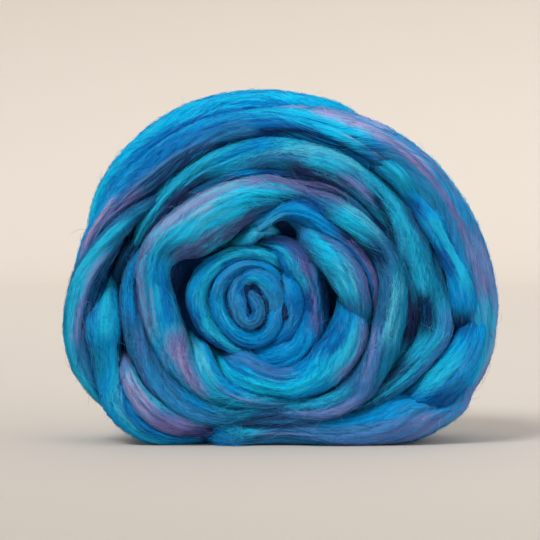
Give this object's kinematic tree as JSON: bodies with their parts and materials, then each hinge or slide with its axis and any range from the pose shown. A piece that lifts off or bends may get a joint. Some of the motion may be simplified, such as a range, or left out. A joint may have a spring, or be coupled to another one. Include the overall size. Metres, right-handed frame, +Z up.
{
  "type": "ball of wool roving",
  "caption": "A long, soft strand of combed and dyed wool wound loosely into a thick, round-topped spiral ball that stands on a small flat spot.",
  "frame": {"origin": "on the surface that the ball stands on, under the middle of its bounding box", "axes": "+Z up, +X to the right of someone who looks at the spiral face, +Y away from them, so the spiral face looks towards -Y"},
  "size_m": [0.2955, 0.1216, 0.2389],
  "materials": {
    "dyed_wool": "combed wool in turquoise, azure, steel blue and soft mauve, matt with a faint silky sheen along the fibres"
  },
  "bodies": {
    "root": {"roving_ball": "dyed_wool"}
  },
  "joints": []
}
